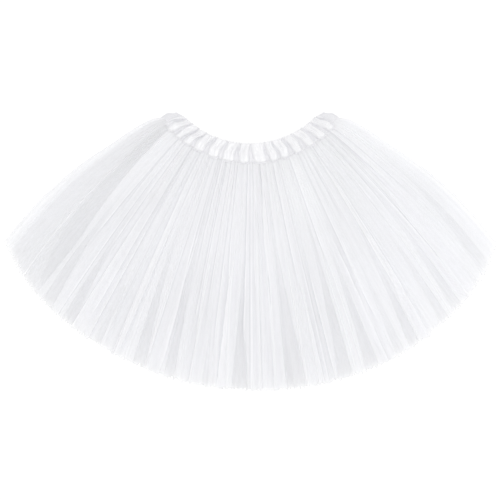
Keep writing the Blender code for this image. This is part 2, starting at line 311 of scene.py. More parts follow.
def folded_over(t, s, folds):
    """Where knife pleats take the cloth: sideways, as t, and up, as a share of a fold's height. The third
    value is 1 along the edge that shows, and the fourth is 1 on the cloth beneath, just beside the edge."""
    sideways, up, edge, beside = (np.zeros_like(t) for _ in range(4))
    for fold in folds:
        x = (t - line_at(fold, s)) / fold.half_width
        open_share = smooth_step((s - fold.start) / 0.35) * smooth_step((fold.end - s) / 0.3)
        # Forward to the first edge at -1/3, back under it to 1/3, and forward again.
        wave = np.interp(x, [-1, -1 / 3, 1 / 3, 1], [0, 1, -1, 0])
        sideways += (fold.overlap + 1 / 3) * fold.half_width * wave * open_share
        over = np.maximum(wave * fold.side, 0.0) * open_share
        up += over
        edge = np.maximum(edge, smooth_step((over - 0.3) / 0.7))
        # Where the flat cloth beneath comes out from under the edge, as x.
        comes_out = (2.5 * fold.overlap + 0.5) / (1.5 + 1.5 * fold.overlap)
        beside = np.maximum(beside, bump((x * fold.side - comes_out) / 0.5) * open_share)
    return sideways, up, edge, beside


def ridged(t, s):
    """How far the narrow folds stand up."""
    height = np.zeros_like(t)
    for ridge in RIDGES:
        half = ridge.half_width * mix(RIDGE_SEAM_WIDTH, 1.0, np.clip(s, 0.0, 1.0))
        height += ridge.height * bump((t - line_at(ridge, s)) / half) * smooth_step((s - ridge.start) / 0.3)
    return height


def sheet_height(sheet, s, sunk):
    loose = smooth_step(s / SETTLED)
    lowest = mix(SEAM_LIFT, FLOOR_LIFT, loose)
    loose_pitch = LOOSE_PITCH + CREST_SPREAD * (1 - TROUGH_DEPTH * sunk)
    sprung = SEAM_SPRING * smooth_step((s + 0.03) / 0.05) * (1 - loose)
    return lowest + sheet * (mix(GATHERED_PITCH, loose_pitch, loose) + sprung)


# ---------------------------------------------------------------- meshes and node trees


def new_object(name, vertices, faces):
    mesh = bpy.data.meshes.new(name)
    mesh.from_pydata(vertices, [], faces)
    made = bpy.data.objects.new(name, mesh)
    bpy.context.scene.collection.objects.link(made)
    return made


def grid_faces(rows, columns):
    """Quads between the points of a grid that closes round its columns."""
    row, column = np.meshgrid(np.arange(rows - 1), np.arange(columns), indexing="ij")
    after = (column + 1) % columns
    here, below = row * columns, (row + 1) * columns
    return rows_of([here + column, here + after, below + after, below + column]).reshape(-1, 4)


def set_cloth_map(made, across, down):
    """The UV map "cloth" in metres of flat cloth. across has one column more than the mesh, as it closes."""
    rows, columns = down.shape[0], across.shape[1] - 1
    row, column = np.meshgrid(np.arange(rows - 1), np.arange(columns), indexing="ij")
    loops = [(row, column), (row, column + 1), (row + 1, column + 1), (row + 1, column)]
    flat = [rows_of([across[r, c], down[r, np.minimum(c, columns - 1)]]) for r, c in loops]
    layer = made.data.uv_layers.new(name="cloth")
    layer.data.foreach_set("uv", np.stack(flat, axis=2).reshape(-1).astype(np.float32))


def set_attribute(made, name, values):
    kind = "FLOAT_VECTOR" if values.ndim > 2 else "FLOAT"
    attribute = made.data.attributes.new(name, kind, "POINT")
    field = "vector" if values.ndim > 2 else "value"
    attribute.data.foreach_set(field, values.reshape(-1).astype(np.float32))


def smooth(made):
    made.data.polygons.foreach_set("use_smooth", [True] * len(made.data.polygons))


class Nodes:
    """Adds nodes to a tree and joins them, so that a pattern reads as a formula."""

    def __init__(self, tree):
        self.tree = tree

    def add(self, kind, inputs=(), **settings):
        node = self.tree.nodes.new(kind)
        for name, value in settings.items():
            setattr(node, name, value)
        for name, value in dict(inputs).items():
            self.put(value, node.inputs[name])
        return node

    def put(self, value, socket):
        if isinstance(value, bpy.types.NodeSocket):
            self.tree.links.new(value, socket)
        else:
            socket.default_value = value

    def maths(self, operation, *values):
        return self.add("ShaderNodeMath", enumerate(values), operation=operation).outputs[0]

    def vector(self, operation, *values):
        return self.add("ShaderNodeVectorMath", enumerate(values), operation=operation).outputs[0]

    def scale(self, vector, share):
        return self.add("ShaderNodeVectorMath", {0: vector, "Scale": share}, operation="SCALE").outputs[0]

    def combine(self, x=0.0, y=0.0, z=0.0):
        return self.add("ShaderNodeCombineXYZ", {"X": x, "Y": y, "Z": z}).outputs[0]

    def mix_colours(self, share, low, high, **settings):
        """low where share is 0, and high where it is 1."""
        inputs = {0: share, 6: low, 7: high}
        return self.add("ShaderNodeMix", inputs, data_type="RGBA", **settings).outputs[2]

    def noise(self, vector, scale=1.0, detail=0.0):
        made = self.add("ShaderNodeTexNoise", {"Vector": vector, "Scale": scale, "Detail": detail})
        return made.outputs[0]

    def ramp(self, value, low, high, to_low=0.0, to_high=1.0):
        inputs = {"Value": value, "From Min": low, "From Max": high, "To Min": to_low, "To Max": to_high}
        return self.add("ShaderNodeMapRange", inputs).outputs[0]


def geometry_tree(name, numbers):
    """A geometry tree with a mesh input, a number input for each name, and a material input."""
    tree = bpy.data.node_groups.new(name, "GeometryNodeTree")
    tree.interface.new_socket("Geometry", in_out="INPUT", socket_type="NodeSocketGeometry")
    for number in numbers:
        tree.interface.new_socket(number, in_out="INPUT", socket_type="NodeSocketFloat")
    tree.interface.new_socket("Material", in_out="INPUT", socket_type="NodeSocketMaterial")
    tree.interface.new_socket("Geometry", in_out="OUTPUT", socket_type="NodeSocketGeometry")
    return tree, Nodes(tree), tree.nodes.new("NodeGroupInput").outputs


def end_tree(tree, nodes, given, geometry):
    real = nodes.add("GeometryNodeRealizeInstances", {"Geometry": geometry})
    inputs = {"Geometry": real.outputs[0], "Material": given["Material"]}
    painted = nodes.add("GeometryNodeSetMaterial", inputs)
    output = tree.nodes.new("NodeGroupOutput")
    tree.links.new(painted.outputs[0], output.inputs[0])


def grow(made, tree, material, **numbers):
    """Runs a geometry tree on an object and keeps the result as its plain mesh."""
    modifier = made.modifiers.new(tree.name, "NODES")
    modifier.node_group = tree
    values = {name.replace("_", " "): value for name, value in numbers.items()} | {"Material": material}
    for item in tree.interface.items_tree:
        if item.in_out == "INPUT" and item.name in values:
            modifier[item.identifier] = values[item.name]
    made.update_tag()
    graph = bpy.context.evaluated_depsgraph_get()
    mesh = bpy.data.meshes.new_from_object(made.evaluated_get(graph))
    made.modifiers.clear()
    spent, made.data = made.data, mesh
    bpy.data.meshes.remove(spent)
    mesh.name = made.name
    return made


# ---------------------------------------------------------------- materials

NET_CELL = 1.3 * MM
NET_THREAD = 0.17 * MM
STREAKS = (115.0, 0.5, 0.0)  # how many to a metre, round the layer and down it
CLOUDS = (13.7, 7.0, 0.0)  # paler and darker patches, counted the same way
BETWEEN_THREADS = (0.40, 0.47)  # how much the net hides between its threads, in thin streaks and dense ones
THREAD_HIDES = 0.14  # how much more on a thread
BUNCHED_HIDES = 0.22  # and where the threads are drawn close
SUNK_SHOWS = 0.1  # how much less in a trough
TULLE_TINT = (0.966, 0.968, 0.981, 1.0)
# Painted light: the net's colour made lighter where its threads are drawn close, on fold edges, ridge tops,
# the side folds and near the seam.
PAINTED_LIGHT_TINT = (0.977, 0.978, 0.990, 1.0)
# Painted shade: the net's colour darkened in the troughs and in a painted shadow beside the knife pleats'
# edges.
PAINTED_SHADE_TINT = (*(part * 0.92 for part in TULLE_TINT[:3]), 1.0)
SATIN_FLOATS = (900.0, 5200.0, 1.0)  # and these to a metre, along the strip and across it
SATIN_PRESSED = (260.0, 28.0, 1.0)
SATIN_CLOUDS = (45.0, 45.0, 1.0)
SATIN_TINTS = ((0.87, 0.87, 0.89, 1.0), (0.93, 0.93, 0.945, 1.0))
CREASE_PAINTED_SHADE = (0.90, 0.90, 0.91, 1.0)  # times that in the deep creases and on the flat folded-back ends: painted shade
THREAD_TINTS = ((0.86, 0.865, 0.88, 1.0), (0.96, 0.96, 0.97, 1.0))


def hexagon_net(nodes, cell, thread):
    """1 on the threads of a net of six-sided holes, from the cloth map. cell is a hole's width."""
    cloth = nodes.add("ShaderNodeUVMap", uv_map="cloth").outputs[0]
    box = (cell, cell * math.sqrt(3), 1.0)
    # The holes' middles are two grids of such boxes, half a box apart. The nearer middle is the hole's own.
    two = []
    for shift in (0.0, 0.5):
        scaled = nodes.vector("DIVIDE", cloth, box)
        shifted = nodes.vector("ADD", scaled, (shift, shift, 0.0))
        centred = nodes.vector("SUBTRACT", nodes.vector("FRACTION", shifted), (0.5, 0.5, 0.0))
        two.append(nodes.vector("ABSOLUTE", nodes.vector("MULTIPLY", centred, box)))
    away = [nodes.add("ShaderNodeVectorMath", {0: place}, operation="LENGTH").outputs for place in two]
    nearer = nodes.maths("LESS_THAN", away[0]["Value"], away[1]["Value"])
    chosen = nodes.add("ShaderNodeMix", {0: nearer, 4: two[1], 5: two[0]}, data_type="VECTOR").outputs[1]
    inputs = {0: chosen, 1: (0.5, math.sqrt(3) / 2, 0.0)}
    slanted = nodes.add("ShaderNodeVectorMath", inputs, operation="DOT_PRODUCT").outputs["Value"]
    sides = nodes.add("ShaderNodeSeparateXYZ", {0: chosen}).outputs
    reach = nodes.maths("MAXIMUM", sides[0], slanted)
    return nodes.ramp(reach, cell / 2 - thread, cell / 2 - thread * 0.6)


def new_material(name):
    material = bpy.data.materials.new(name)
    material.use_nodes = True
    nodes = Nodes(material.node_tree)
    return material, nodes, material.node_tree.nodes["Principled BSDF"]


def tulle_material():
    material, nodes, shader = new_material("tulle_net")
    net = hexagon_net(nodes, cell=NET_CELL, thread=NET_THREAD)
    cloth = nodes.add("ShaderNodeUVMap", uv_map="cloth").outputs[0]
    # Threads lie closer in some lengthways streaks than in others, which is what shows from far away.
    streak = nodes.noise(nodes.vector("MULTIPLY", cloth, STREAKS), detail=1.0)
    cloudy = nodes.noise(nodes.vector("MULTIPLY", cloth, CLOUDS), detail=2.0)
    bunched_and_painted_light = nodes.add("ShaderNodeAttribute", attribute_name="bunched_and_painted_light").outputs["Fac"]
    shade = nodes.add("ShaderNodeAttribute", attribute_name="shade").outputs["Fac"]
    alpha = nodes.ramp(streak, 0.35, 0.7, *BETWEEN_THREADS)
    alpha = nodes.maths("MULTIPLY_ADD", bunched_and_painted_light, BUNCHED_HIDES, alpha)
    alpha = nodes.maths("MULTIPLY_ADD", shade, -SUNK_SHOWS, alpha)
    alpha = nodes.maths("MULTIPLY_ADD", net, THREAD_HIDES, alpha)
    nodes.put(alpha, shader.inputs["Alpha"])
    # Painted light: lighter where the threads are drawn close; the denser net itself is in the alpha above.
    tint = nodes.mix_colours(nodes.ramp(bunched_and_painted_light, 0.3, 1.0), TULLE_TINT, PAINTED_LIGHT_TINT)
    # Painted shade: darker where the "shade" attribute is 1, in the troughs and beside the knife pleats'
    # edges.
    colour = nodes.mix_colours(shade, tint, PAINTED_SHADE_TINT)
    nodes.put(nodes.scale(colour, nodes.ramp(cloudy, 0.3, 0.7, 0.98, 1.01)), shader.inputs["Base Color"])
    nodes.put(nodes.ramp(streak, 0.3, 0.7, 0.6, 0.8), shader.inputs["Roughness"])
    knotted = nodes.add("ShaderNodeBump", {"Height": net, "Strength": 0.3, "Distance": 0.1 * MM})
    nodes.put(knotted.outputs[0], shader.inputs["Normal"])
    shader.inputs["Sheen Weight"].default_value = 0.15
    shader.inputs["Sheen Roughness"].default_value = 0.4
    return material


def satin_material():
    material, nodes, shader = new_material("waistband_satin")
    cloth = nodes.add("ShaderNodeUVMap", uv_map="cloth").outputs[0]
    # Floats of the satin weave run along the strip; gathers press faint lines across it.
    floats = nodes.noise(nodes.vector("MULTIPLY", cloth, SATIN_FLOATS), detail=2.0)
    pressed = nodes.noise(nodes.vector("MULTIPLY", cloth, SATIN_PRESSED), detail=3.0)
    cloudy = nodes.noise(nodes.vector("MULTIPLY", cloth, SATIN_CLOUDS), detail=2.0)
    colour = nodes.mix_colours(nodes.ramp(cloudy, 0.3, 0.7), *SATIN_TINTS)
    # Painted shade: the satin darkened in its creases and on its flat folded-back ends.
    shade = nodes.add("ShaderNodeAttribute", attribute_name="shade").outputs["Fac"]
    darker = nodes.mix_colours(shade, colour, CREASE_PAINTED_SHADE, blend_type="MULTIPLY")
    nodes.put(darker, shader.inputs["Base Color"])
    nodes.put(nodes.ramp(floats, 0.3, 0.7, 0.24, 0.34), shader.inputs["Roughness"])
    pressed_in = nodes.add("ShaderNodeBump", {"Height": pressed, "Strength": 0.35, "Distance": 1.2 * MM})
    woven = nodes.add("ShaderNodeBump", {"Height": floats, "Strength": 0.25, "Distance": 0.1 * MM})
    nodes.put(pressed_in.outputs[0], woven.inputs["Normal"])
    nodes.put(woven.outputs[0], shader.inputs["Normal"])
    shader.inputs["Metallic"].default_value = 0.2
    shader.inputs["Anisotropic"].default_value = 0.4
    shader.inputs["Sheen Weight"].default_value = 0.08
    return material


# ---------------------------------------------------------------- the tulle layers


def gather_tree():
    """The fine gathers of a sheet: they wander, differ in height and lean over. The hem gets small teeth."""
    tree, nodes, given = geometry_tree("Gathers", ["Height", "Lean", "Wander", "Fray", "Seed"])

    def stored(name, kind="FLOAT"):
        return nodes.add("GeometryNodeInputNamedAttribute", {"Name": name}, data_type=kind).outputs[0]

    gather, down, pitch, free = (stored(name) for name in ("gather", "down", "pitch", "free"))
    across_way, down_way = stored("across_way", "FLOAT_VECTOR"), stored("down_way", "FLOAT_VECTOR")

    def patch(how_wide, how_long, salt):
        """Noise from 0 to 1, in patches this many gathers wide and this share of the skirt long."""
        vector = nodes.combine(
            nodes.maths("DIVIDE", gather, how_wide),
            nodes.maths("DIVIDE", down, how_long),
            nodes.maths("ADD", given["Seed"], salt),
        )
        return nodes.ramp(nodes.noise(vector), 0.3, 0.7)

    def times(*values):
        product = values[0]
        for value in values[1:]:
            product = nodes.maths("MULTIPLY", product, value)
        return product

    wander = patch(how_wide=7.0, how_long=4.0, salt=0.0)
    wandered = nodes.maths("MULTIPLY_ADD", wander, given["Wander"], gather)
    angle = nodes.maths("MULTIPLY", wandered, 2 * math.pi)
    crest = nodes.maths("MULTIPLY_ADD", nodes.maths("COSINE", angle), -0.5, 0.5)
    size = nodes.ramp(patch(how_wide=1.6, how_long=4.0, salt=10.0), 0.0, 1.0, 0.25, 1.0)
    rise = times(crest, size, pitch, given["Height"], free)
    leaning = nodes.ramp(patch(how_wide=4.0, how_long=4.0, salt=20.0), 0.0, 1.0, -1.0, 1.0)
    lean = times(nodes.maths("SINE", angle), leaning, given["Lean"], pitch, free)
    tooth = nodes.maths("SUBTRACT", 0.35, patch(how_wide=0.45, how_long=9.0, salt=30.0))
    frayed = times(tooth, given["Fray"], nodes.ramp(down, FRAY_FROM, 1.0))
    moved = nodes.vector("ADD", nodes.scale(across_way, lean), nodes.combine(z=rise))
    moved = nodes.vector("ADD", moved, nodes.scale(down_way, frayed))
    inputs = {"Geometry": given["Geometry"], "Offset": moved}
    placed = nodes.add("GeometryNodeSetPosition", inputs).outputs[0]
    # The cloth is smooth, but turns sharply over the edge of a knife pleat.
    turn = nodes.add("GeometryNodeInputMeshEdgeAngle").outputs["Unsigned Angle"]
    sharp = nodes.maths("GREATER_THAN", turn, SHARP_TURN)
    inputs = {"Geometry": placed, "Selection": sharp, "Shade Smooth": False}
    end_tree(tree, nodes, given, nodes.add("GeometryNodeSetShadeSmooth", inputs, domain="EDGE").outputs[0])
    return tree


def tulle_ring(layer, gathers, material):
    """One layer of tulle, front and back, with its pleats from the tables and its gathers from the tree."""
    front_columns, back_columns = FRONT_GATHERS * COLUMNS_EACH, BACK_GATHERS * COLUMNS_EACH
    front_share = np.linspace(-1, 1, front_columns, endpoint=False)
    back_share = np.linspace(1, -1, back_columns, endpoint=False)
    share, s = np.meshgrid(np.concatenate([front_share, back_share]), TULLE_ROWS)
    is_front = np.broadcast_to(np.arange(share.shape[1]) < front_columns, share.shape)
    on_top = is_front & (layer == 0)
    loose = np.clip(s, 0.0, 1.0)
    opened = smooth_step(s / OPEN_BY)

    t = share * (1 - layer * mix(*LAYER_INSET, loose) / half_width_at(s))
    sunk = pleated(t, s)
    height = np.where(is_front, sheet_height(SHEETS - 1 - layer, s, sunk), sheet_height(layer, s, sunk))
    hem_knives = knives(HEM_KNIFE_SEED + layer, HEM_KNIVES, from_seam=False)
    seam_knives = knives(SEAM_KNIFE_SEED + layer, SEAM_KNIVES, from_seam=True)
    sideways, up, edge, beside = folded_over(t, s, hem_knives + seam_knives)
    tallest = np.where(on_top, *KNIFE_HEIGHT) * mix(KNIFE_HEIGHT_AT_SEAM, 1.0, opened)
    ridge = np.where(on_top, ridged(t, s), 0.0)
    height += up * tallest * smooth_step((s + 0.02) / 0.04) + ridge
    # The side folds round from the front to the back at half the height of the stack.
    fold = mix(*SIDE_FOLD, loose) / half_width_at(s)
    in_fold = np.clip((np.abs(share) - (1 - fold)) / fold, 0.0, 1.0)
    half_way = (sheet_height(SHEETS // 2 - 1, s, 1.0) + sheet_height(SHEETS // 2, s, 1.0)) / 2
    height = mix(half_way, height, np.sqrt(1 - in_fold**2))
    place, across, down_way = lie(np.clip(t + sideways * (1 - in_fold), -1.0, 1.0), s)
    place -= down_way * (layer * LAYER_SHORTER * loose)[..., None]
    vertices = np.dstack([place, height]).reshape(-1, 3)
    made = new_object(f"tulle_{LAYERS[layer]}_net", vertices, grid_faces(*s.shape))

    # How far round the front and the back a place is, as shares.
    along_front, along_back = (share + 1) / 2, (1 - share) / 2
    gather = np.where(is_front, along_front * FRONT_GATHERS, FRONT_GATHERS + along_back * BACK_GATHERS)
    set_attribute(made, "gather", gather)
    set_attribute(made, "down", s)
    set_attribute(made, "pitch", 2 * half_width_at(s) / np.where(is_front, FRONT_GATHERS, BACK_GATHERS))
    free = np.where(on_top, 1.0, HIDDEN_GATHERS) * np.sqrt(1 - in_fold) * smooth_step(s / 0.05)
    set_attribute(made, "free", free * mix(1.0, OPENED_GATHERS, opened))
    flat = np.zeros_like(t)
    set_attribute(made, "across_way", np.dstack([across, flat]))
    set_attribute(made, "down_way", np.dstack([down_way, flat]))
    # Fold edges, ridge tops and the side folds: denser net, and painted lighter too.
    folded = np.maximum(np.minimum(ridge / TALLEST_RIDGE, 1.0), edge)
    folded = np.maximum(folded, SIDE_BUNCHED_AND_PAINTED_LIGHT * smooth_step((in_fold - 0.6) / 0.4))
    set_attribute(made, "bunched_and_painted_light", np.maximum(mix(*NET_BUNCHED_AND_PAINTED_LIGHT, smooth_step(s / 0.6)), folded))
    # Painted shade in the troughs, and a painted shadow beside the outer layer's knife-pleat edges.
    shade = np.where(is_front, np.maximum(sunk, KNIFE_SHADE * beside * on_top), 0.0)
    set_attribute(made, "shade", shade * (1 - folded))
    around = np.where(is_front, along_front / 2, 0.5 + along_back / 2) * CLOTH_LENGTH
    around = np.hstack([around, np.full((len(TULLE_ROWS), 1), CLOTH_LENGTH)])
    set_cloth_map(made, around, s * SKIRT_LENGTH)
    smooth(made)
    grow(made, gathers, material, Height=0.35, Lean=0.3, Wander=2.5, Fray=5.0 * MM, Seed=3.7 * layer)
    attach(made, "root")
    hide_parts(f"tulle_{LAYERS[layer]}")
    return made


# ---------------------------------------------------------------- the waistband

Crease = namedtuple("Crease", "seam_at top_at half_width")
CREASES = (
    # the deep creases of the satin, left to right, as shares of the band's half length
    Crease(seam_at=-0.905, top_at=-0.860, half_width=0.020),
    Crease(seam_at=-0.800, top_at=-0.755, half_width=0.018),
    Crease(seam_at=-0.700, top_at=-0.655, half_width=0.014),
    Crease(seam_at=-0.592, top_at=-0.555, half_width=0.016),
    Crease(seam_at=-0.450, top_at=-0.425, half_width=0.028),
    Crease(seam_at=-0.300, top_at=-0.275, half_width=0.024),
    Crease(seam_at=-0.140, top_at=-0.125, half_width=0.026),
    Crease(seam_at=0.010, top_at=0.010, half_width=0.026),
    Crease(seam_at=0.170, top_at=0.165, half_width=0.020),
    Crease(seam_at=0.290, top_at=0.270, half_width=0.016),
    Crease(seam_at=0.420, top_at=0.395, half_width=0.028),
    Crease(seam_at=0.555, top_at=0.525, half_width=0.026),
    Crease(seam_at=0.685, top_at=0.655, half_width=0.024),
    Crease(seam_at=0.805, top_at=0.780, half_width=0.020),
    Crease(seam_at=0.915, top_at=0.890, half_width=0.016),
)
CREASE_AT_TOP = 0.4  # how wide a crease is at the band's top, as a share of its width at the seam
BAND_HEIGHT = 25.4 * MM
BAND_END_ANGLE = math.radians(52.6)
BAND_CORNER_ANGLE = math.radians(49.8)  # its top corners pull in
BAND_ROOF = (11.1 * MM, 8.0 * MM)  # the inside of its front wall, at the seam and at the top
BAND_WALL = 2.2 * MM
BAND_SIDE_FOLD = 15 * MM
PUFF = 3.8 * MM  # how far a puff stands out from the creases beside it
PUFF_SUNK = 0.35  # and how much of that lies below the wall's own face, as a share
WRINKLE = 0.45 * MM  # how far the small wrinkles stand out and in
BACK_RELIEF = 0.25  # how much of this relief there is on the back, as a share
DRAWN_IN = 0.55  # and how much at the band's top, where the strip turns over the elastic
LOWEST = 0.1 * MM  # how near the floor the casing comes
RUFFLES = 30  # how many of the small wrinkles there are in the band's half length
RUFFLE = 1.1 * MM  # how far they move its top edge
SCALLOP = 2.0 * MM  # how far the lower edge dips under a puff
SEAM_PRESSED = 3.0 * MM  # how much lower the seam holds the outer face
BACK_FOLD_AT = 0.91  # where the band's flat ends start, as a share of its half length
BACK_FOLD_STEP = 1.5 * MM
CORNER_ROUND = 3.0 * MM  # how much lower the top corners are at the very ends
CASING_LENGTH = 0.72
BAND_COLUMNS = 1000  # along the front, and as many along the back
BAND_ROWS = 44
TURN = (0.46, 0.54)  # where the strip turns over the elastic, as shares of its width
STITCH_ROW = 2  # of the casing's rows, up from its lower edge
STITCH_SUNK = 0.1 * MM


def puffed(along, up):
    """How far the satin stands out between its creases, as a share: near 0 in a crease and 1 on a puff."""
    # One more past each end, so that the puffs there end too.
    creases = [Crease(-1.02, -1.02, 0.0), *CREASES, Crease(1.02, 1.02, 0.0)]
    wavy = [0.006 * np.sin(7 * up + 40 * crease.seam_at) for crease in creases]
    lines = [mix(crease.seam_at, crease.top_at, up) + wave for crease, wave in zip(creases, wavy)]
    halves = [crease.half_width * mix(1.0, CREASE_AT_TOP, up) for crease in creases]
    puff = np.zeros_like(along)
    for number in range(len(creases) - 1):
        left, right = lines[number] + halves[number], lines[number + 1] - halves[number + 1]
        inside = (along >= left) & (along < right)
        across = np.clip(2 * (along - left) / (right - left) - 1, -1.0, 1.0)
        rounded = (1 - np.abs(across) ** 2.4) ** 0.6
        # Towards the top a puff parts in two, so that its ridges stand like a V, each parted a bit elsewhere.
        part = 0.16 * math.sin(2.4 * number)
        dent = bump((across - part) / mix(0.25, 0.75, up)) * smooth_step((up - 0.15) / 0.6)
        puff = np.where(inside, rounded * (1 - 0.6 * dent), puff)
    return puff * (1 - folded_back(along))


def folded_back(along):
    """1 on the band's ends, where the satin is folded back and lies flat."""
    return smooth_step((np.abs(along) - BACK_FOLD_AT) / 0.02)


def wrinkled(along, up):
    """Small wrinkles of the satin, from -1 to 1, mostly up and down the band and finer at its top."""
    bent = 1.9 * np.sin(5 * up + 23 * along) + 1.1 * np.sin(11 * up - 37 * along + 1.0)
    fine = np.sin(2 * np.pi * RUFFLES * along + bent)
    finer = np.sin(4.3 * np.pi * RUFFLES * along - 1.4 * bent + 3 * up)
    return 0.6 * fine * mix(0.5, 1.0, up) + 0.4 * finer * up


def wall_middle(along, up, roof, on_face):
    """The height of the middle of the front wall. on_face is where its outer face is."""
    pressed = SEAM_PRESSED * np.maximum(1 - up / 0.12, 0.0) ** 2
    stepped = BACK_FOLD_STEP * folded_back(along) * (1 - smooth_step((up - 0.6) / 0.3))
    return roof + BAND_WALL / 2 - np.where(on_face, pressed + stepped, 0.0)


def edge_moved(along, up, puff):
    """How far down the tutu the satin is pushed: its top edge and corners, and its scalloped lower edge."""
    ruffle = RUFFLE * wrinkled(along, up) * up**4 * (1 - smooth_step((np.abs(along) - 0.86) / 0.08))
    scallop = SCALLOP * (puff - 0.6) * (1 - up) ** 3
    rounded_off = CORNER_ROUND * smooth_step((np.abs(along) - 0.88) / 0.12) * smooth_step((up - 0.5) / 0.5)
    return scallop + rounded_off - ruffle


def waistband_casing(material):
    """The satin casing: a strip that runs from the seam inside, over the elastic, to the seam outside."""
    front = np.linspace(-1, 1, BAND_COLUMNS, endpoint=False)
    back = np.linspace(1, -1, BAND_COLUMNS, endpoint=False)
    along, strip = np.meshgrid(np.concatenate([front, back]), np.linspace(0, 1, BAND_ROWS))
    is_front = np.broadcast_to(np.arange(2 * BAND_COLUMNS) < BAND_COLUMNS, along.shape)
    # The strip is the inner face from the seam up, then the turn over the top, and the outer face down.
    turned = np.clip((strip - TURN[0]) / (TURN[1] - TURN[0]), 0.0, 1.0)
    up = np.minimum(np.minimum(strip, 1 - strip) / TURN[0], 1.0)
    outward = -np.cos(np.pi * turned)
    is_outer = outward > 0
    puff = puffed(along, up)
    roof = mix(*BAND_ROOF, up)
    middle = np.where(is_front, wall_middle(along, up, roof, is_outer), BAND_WALL / 2)
    # Stitched down flat at the seam, full over the elastic, and drawn in at the top.
    full = smooth_step((up + 0.06) / 0.2) * mix(1.0, DRAWN_IN, smooth_step((up - 0.6) / 0.4))
    stand = (puff - PUFF_SUNK) * PUFF + wrinkled(along, up) * WRINKLE
    relief = BAND_WALL / 2 + np.where(is_front, 1.0, BACK_RELIEF) * stand * full * is_outer
    height = middle + np.where(is_front, 1.0, -1.0) * outward * relief
    # Its ends fold round from the front to the back at half the height of the stack.
    fold = BAND_SIDE_FOLD / (SEAM_RADIUS * BAND_END_ANGLE)
    in_fold = np.clip((np.abs(along) - (1 - fold)) / fold, 0.0, 1.0)
    height = np.maximum(mix((BAND_WALL + roof) / 2, height, np.sqrt(1 - in_fold**2)), LOWEST)
    angle = mix(BAND_END_ANGLE, BAND_CORNER_ANGLE, smooth_step((up - 0.4) / 0.6)) * along
    radius = SEAM_RADIUS - BAND_HEIGHT * up + edge_moved(along, up, puff)
    place = np.dstack([radius * np.sin(angle), ARC_MIDDLE_Y - radius * np.cos(angle), height])
    made = new_object("waistband_casing", place.reshape(-1, 3), grid_faces(*along.shape))
    around = np.where(is_front, (along + 1) / 4, 0.5 + (1 - along) / 4) * CASING_LENGTH
    around = np.hstack([around, np.full((BAND_ROWS, 1), CASING_LENGTH)])
    set_cloth_map(made, around, strip * 2 * BAND_HEIGHT)
    # Painted shade where the puffs sink into the creases and on the flat ends.
    set_attribute(made, "shade", 1 - smooth_step(puff / 0.25))
    smooth(made)
    made.data.materials.append(material)
    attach(made, "root")
    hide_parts("waistband")
    return made


# ---------------------------------------------------------------- thread

STITCH_PITCH = 2.8 * MM
STITCH_THREAD = 0.38 * MM
STITCH_SHARE = 0.72  # how long a stitch is, as a share of its pitch
LOOSE_END_SPACING = 3.2 * MM
LONGEST_LOOSE_END = 4.5 * MM
LOOSE_END_THREAD = 0.12 * MM
LOOSE_END_BEND = {"Start": (0.0, 0.0, 0.0), "Middle": (0.5, 0.12, 0.05), "End": (1.0, 0.0, 0.0)}


def thread_material():
    material, nodes, shader = new_material("white_thread")
    place = nodes.add("ShaderNodeTexCoord").outputs["Object"]
    twist = nodes.noise(nodes.vector("MULTIPLY", place, (2500.0, 2500.0, 2500.0)), detail=1.0)
    nodes.put(nodes.mix_colours(twist, *THREAD_TINTS), shader.inputs["Base Color"])
    shader.inputs["Roughness"].default_value = 0.5
    shader.inputs["Sheen Weight"].default_value = 0.2
    ply = nodes.add("ShaderNodeBump", {"Height": twist, "Strength": 0.4, "Distance": 0.05 * MM})
    nodes.put(ply.outputs[0], shader.inputs["Normal"])
    return material


def line_object(name, points, directions=None):
    """Loose edges through the points, which close, with the directions as the attribute "way"."""
    count = len(points)
    mesh = bpy.data.meshes.new(name)
    mesh.from_pydata(points, [(number, (number + 1) % count) for number in range(count)], [])
    made = bpy.data.objects.new(name, mesh)
    bpy.context.scene.collection.objects.link(made)
    if directions is not None:
        set_attribute(made, "way", directions[None])
    return made


def set_along(nodes, geometry, spacing):
    """The line as a curve with a point every so often, and the way it runs there."""
    curve = nodes.add("GeometryNodeMeshToCurve", {"Mesh": geometry}).outputs[0]
    inputs = {"Curve": curve, "Length": spacing}
    spaced = nodes.add("GeometryNodeResampleCurve", inputs, mode="LENGTH").outputs[0]
    return spaced, nodes.add("GeometryNodeInputTangent").outputs[0]


def stitch_tree():
    """A stitch every Pitch along a line: a bead, Thread thick and this Share of the pitch long."""
    tree, nodes, given = geometry_tree("Stitches", ["Pitch", "Thread", "Share"])
    spaced, tangent = set_along(nodes, given["Geometry"], given["Pitch"])
    bead = nodes.add("GeometryNodeMeshUVSphere", {"Segments": 6, "Rings": 4, "Radius": 0.5}).outputs[0]
    turned = nodes.add("FunctionNodeAlignRotationToVector", {"Vector": tangent}, axis="X").outputs[0]
    long = nodes.maths("MULTIPLY", given["Pitch"], given["Share"])
    inputs = {"Points": spaced, "Instance": bead, "Rotation": turned}
    inputs["Scale"] = nodes.combine(long, given["Thread"], given["Thread"])
    end_tree(tree, nodes, given, nodes.add("GeometryNodeInstanceOnPoints", inputs).outputs[0])
    return tree


